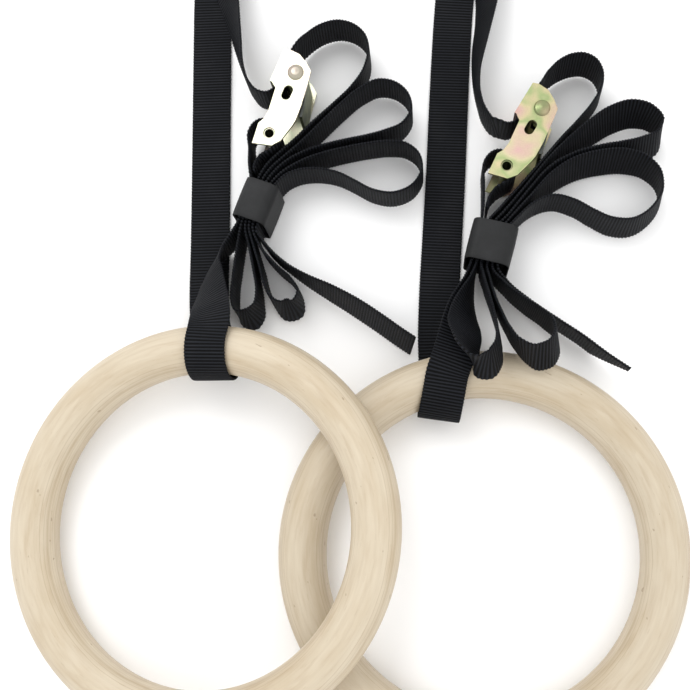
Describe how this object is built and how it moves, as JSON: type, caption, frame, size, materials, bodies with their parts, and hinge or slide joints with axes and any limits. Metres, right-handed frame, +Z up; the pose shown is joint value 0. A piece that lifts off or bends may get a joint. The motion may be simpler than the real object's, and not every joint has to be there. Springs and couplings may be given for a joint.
{
  "type": "gymnastics rings",
  "caption": "Pair of laminated birch gymnastics rings on black webbing straps with cam buckles, straps looped and gathered by rubber keeper bands.",
  "frame": {"origin": "centre of the bounding box at the surface the pair lies on", "axes": "+Y along the straps, away from the rings; +X from the left set to the right set; +Z up from the surface"},
  "size_m": [0.3961, 0.6897, 0.0628],
  "materials": {
    "webbing": "ribbed polyester webbing",
    "birch": "fine sanded, no varnish",
    "zinc": "yellow passivated zinc plate",
    "steel": "plain satin",
    "rubber": "matte"
  },
  "bodies": {
    "left_set": {"left_strap_ring_run": "webbing", "left_strap_free_run": "webbing", "left_hank": "webbing", "left_hank_tie": "rubber", "left_keeper_band": "rubber", "left_buckle_frame": "zinc", "left_cam_pin": "zinc", "left_cross_bar": "zinc", "left_cam_spring": "steel"},
    "left_grip": {"left_ring": "birch"},
    "left_lever": {"left_cam_lever": "steel"},
    "right_set": {"right_strap_ring_run": "webbing", "right_strap_free_run": "webbing", "right_hank": "webbing", "right_hank_tie": "rubber", "right_keeper_band": "rubber", "right_buckle_frame": "zinc", "right_cam_pin": "zinc", "right_cross_bar": "zinc", "right_cam_spring": "steel"},
    "right_grip": {"right_ring": "birch"},
    "right_lever": {"right_cam_lever": "steel"}
  },
  "joints": [
    {"name": "sets_apart", "type": "slide", "parent": "left_set", "child": "right_set", "axis": [1, 0, 0], "range_m": [0, 0.3]},
    {"name": "left_ring_swing", "type": "hinge", "parent": "left_set", "child": "left_grip", "pos_m": [-0.07506, -0.11031, 0.03247], "axis": [-0.9841, 0.0628, -0.1659], "range_deg": [0, 100]},
    {"name": "right_ring_spin", "type": "hinge", "parent": "right_set", "child": "right_grip", "pos_m": [0.0802, -0.2269, 0.01587], "axis": [0, -0.017, 0.9999], "continuous": true},
    {"name": "left_lever_squeeze", "type": "hinge", "parent": "left_set", "child": "left_lever", "pos_m": [-0.0312, 0.061, 0.015], "axis": [0, 0, -1], "range_deg": [0, 30], "stiffness_Nm_per_rad": 0.05},
    {"name": "right_lever_squeeze", "type": "hinge", "parent": "right_set", "child": "right_lever", "pos_m": [0.1169, 0.0356, 0.015], "axis": [0, 0, -1], "range_deg": [0, 30], "stiffness_Nm_per_rad": 0.05}
  ]
}
